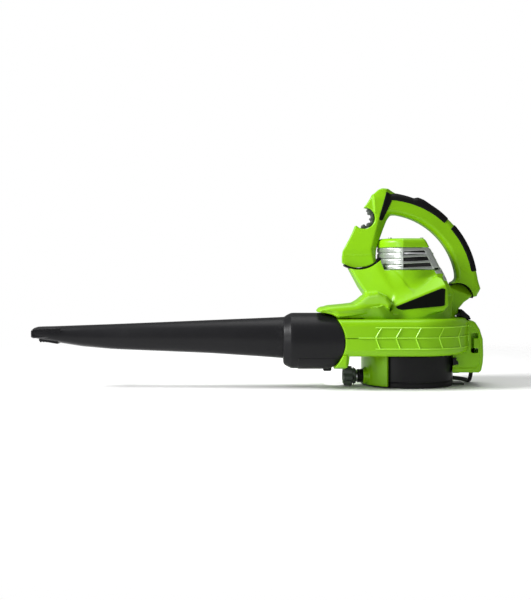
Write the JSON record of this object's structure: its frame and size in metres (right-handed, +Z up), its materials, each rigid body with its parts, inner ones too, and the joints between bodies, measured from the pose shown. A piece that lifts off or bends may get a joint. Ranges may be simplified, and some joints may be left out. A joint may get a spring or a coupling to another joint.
{
  "type": "leaf blower",
  "caption": "Corded garden blower with a vertical fan motor, a scroll housing on a round inlet guard, a loop handle with trigger and a long tapered blowing tube.",
  "frame": {"origin": "centre of the inlet guard's stand face, on the fan axis", "axes": "+Z up along the fan axis, the tube and nozzle point along -X, the badge side seen first faces -Y"},
  "size_m": [0.872, 0.2575, 0.39],
  "materials": {
    "green_shell": "satin moulded shell, bright yellow green",
    "silver_shell": "painted silver moulding, satin",
    "grey_plastic": "mid grey moulded plastic, satin",
    "black_plastic": "black moulded plastic, fine grain",
    "soft_grip": "soft black overmould, fine grain",
    "badge_gloss": "dark blank panel",
    "cord_rubber": "black cable jacket",
    "steel": "plated",
    "aluminium": "cast",
    "copper": "lacquered copper",
    "brass": "turned brass",
    "carbon": "pressed carbon",
    "cap_film": "film capacitor case"
  },
  "bodies": {
    "rotor": {"motor_shaft": "steel", "armature": "copper", "commutator": "copper", "cooling_fan": "black_plastic", "impeller": "black_plastic", "impeller_nut": "steel"},
    "trigger_lever": {"trigger": "grey_plastic"},
    "guard": {"guard_ring": "black_plastic", "guard_foot": "grey_plastic"},
    "washer": {"knob_washer": "steel"},
    "knob": {"clamp_knob": "grey_plastic", "clamp_screw": "steel"},
    "tube": {"tube_collar": "black_plastic", "blower_tube": "black_plastic", "tip_scraper": "black_plastic"},
    "latch": {"tube_latch": "black_plastic"},
    "housing": {"fan_housing_lower": "green_shell", "fan_housing_upper": "green_shell", "motor_housing": "green_shell", "motor_band": "silver_shell", "motor_cap": "green_shell", "badge_panels": "badge_gloss", "outlet_socket": "green_shell", "outlet_hood": "green_shell", "inlet_skirt": "green_shell", "rear_cover": "green_shell", "strap_eye": "black_plastic", "guard_catch": "black_plastic", "handle_left": "green_shell", "handle_right": "green_shell", "grip_top": "soft_grip", "grip_rear": "soft_grip", "grip_front": "soft_grip", "gasket_front": "soft_grip", "gasket_rear": "soft_grip", "trigger_pin": "steel", "power_switch": "black_plastic", "lead_wires": "cord_rubber", "capacitor": "cap_film", "motor_plate": "aluminium", "lower_bearing": "steel", "stator": "steel", "stator_cradle": "black_plastic", "field_coils": "copper", "brush_plate": "black_plastic", "brush_holders": "brass", "brushes": "carbon", "brush_springs": "steel", "upper_bracket": "aluminium", "upper_bearing": "steel", "housing_screws": "steel", "handle_screws": "steel", "cap_screws": "steel", "knob_neck": "black_plastic", "knob_nut": "brass", "trigger_spring": "steel", "strain_relief": "cord_rubber", "power_cord": "cord_rubber", "power_plug": "cord_rubber", "plug_pins": "brass"}
  },
  "joints": [
    {"name": "rotor_spin", "type": "hinge", "parent": "housing", "child": "rotor", "pos_m": [0, 0, 0.1], "axis": [0, 0, -1], "continuous": true},
    {"name": "trigger_pull", "type": "hinge", "parent": "housing", "child": "trigger_lever", "pos_m": [-0.063, 0, 0.37], "axis": [0, -1, 0], "range_deg": [0, 7], "stiffness_Nm_per_rad": 2.5, "springref_deg": -5.73},
    {"name": "guard_drop", "type": "slide", "parent": "housing", "child": "guard", "axis": [0, 0, -1], "range_m": [0, 0.07]},
    {"name": "knob_travel", "type": "slide", "parent": "housing", "child": "washer", "axis": [-1, 0, 0], "range_m": [0, 0.004]},
    {"name": "knob_turn", "type": "hinge", "parent": "washer", "child": "knob", "pos_m": [-0.12, -0.03, 0.02], "axis": [-1, 0, 0], "range_deg": [0, 1080]},
    {"name": "tube_pull", "type": "slide", "parent": "housing", "child": "tube", "axis": [-1, 0, 0], "range_m": [0, 0.09]},
    {"name": "latch_press", "type": "slide", "parent": "housing", "child": "latch", "axis": [0, 0, 1], "range_m": [0, 0.003], "stiffness_N_per_m": 300, "springref_m": -0.004}
  ],
  "couplings": [
    {"joint": "knob_travel", "follows": "knob_turn", "m_per_rad": 0.00019894}
  ]
}
